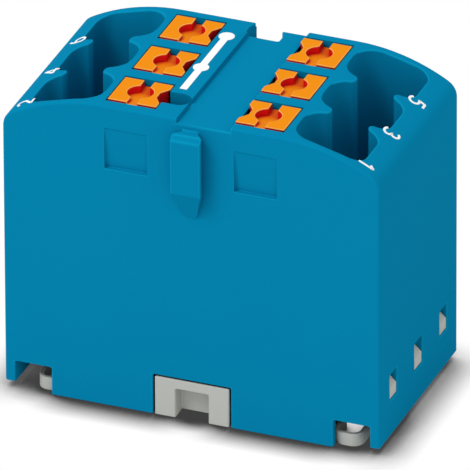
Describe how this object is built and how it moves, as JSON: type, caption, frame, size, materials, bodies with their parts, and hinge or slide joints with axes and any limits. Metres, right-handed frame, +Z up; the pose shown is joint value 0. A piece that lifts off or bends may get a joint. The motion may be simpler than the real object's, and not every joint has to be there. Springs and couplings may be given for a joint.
{
  "type": "power distribution block",
  "caption": "Rectangular push-in distribution block with sprung release buttons, lobed wire hollows, a common current bar and a clip-in foot with a sprung latch.",
  "frame": {"origin": "middle of the base, on the plane of the lower edges of the front and back walls, midway between them and between the side walls", "axes": "+X along the block to the right seen from the tongue side, +Y from the tongue wall to the slot wall, +Z up"},
  "size_m": [0.0298, 0.0174, 0.0253],
  "materials": {
    "housing_plastic": "fine matt moulded polyamide, blue",
    "button_plastic": "satin moulded plastic, orange",
    "foot_plastic": "fine matt moulded plastic, light grey",
    "spring_steel": "bright rolled spring steel",
    "bar_metal": "tin-plated copper alloy, satin",
    "print_white": "white pad print"
  },
  "bodies": {
    "block": {"housing": "housing_plastic", "clamp_spring_1": "spring_steel", "clamp_spring_2": "spring_steel", "clamp_spring_3": "spring_steel", "clamp_spring_4": "spring_steel", "clamp_spring_5": "spring_steel", "clamp_spring_6": "spring_steel", "current_bar": "bar_metal", "foot": "foot_plastic", "latch_spring_right": "foot_plastic", "latch_spring_left": "foot_plastic"},
    "button_1": {"button_1": "button_plastic"},
    "button_2": {"button_2": "button_plastic"},
    "button_3": {"button_3": "button_plastic"},
    "button_4": {"button_4": "button_plastic"},
    "button_5": {"button_5": "button_plastic"},
    "button_6": {"button_6": "button_plastic"},
    "latch": {"latch": "foot_plastic"}
  },
  "joints": [
    {"name": "button_1_press", "type": "slide", "parent": "block", "child": "button_1", "axis": [0, 0, -1], "range_m": [0, 0.0012], "stiffness_N_per_m": 800, "deforming": ["clamp_spring_1"]},
    {"name": "button_2_press", "type": "slide", "parent": "block", "child": "button_2", "axis": [0, 0, -1], "range_m": [0, 0.0012], "stiffness_N_per_m": 800, "deforming": ["clamp_spring_2"]},
    {"name": "button_3_press", "type": "slide", "parent": "block", "child": "button_3", "axis": [0, 0, -1], "range_m": [0, 0.0012], "stiffness_N_per_m": 800, "deforming": ["clamp_spring_3"]},
    {"name": "button_4_press", "type": "slide", "parent": "block", "child": "button_4", "axis": [0, 0, -1], "range_m": [0, 0.0012], "stiffness_N_per_m": 800, "deforming": ["clamp_spring_4"]},
    {"name": "button_5_press", "type": "slide", "parent": "block", "child": "button_5", "axis": [0, 0, -1], "range_m": [0, 0.0012], "stiffness_N_per_m": 800, "deforming": ["clamp_spring_5"]},
    {"name": "button_6_press", "type": "slide", "parent": "block", "child": "button_6", "axis": [0, 0, -1], "range_m": [0, 0.0012], "stiffness_N_per_m": 800, "deforming": ["clamp_spring_6"]},
    {"name": "latch_pull", "type": "slide", "parent": "block", "child": "latch", "axis": [0, -1, 0], "range_m": [0, 0.0012], "stiffness_N_per_m": 1200, "deforming": ["latch_spring_right", "latch_spring_left"]}
  ]
}
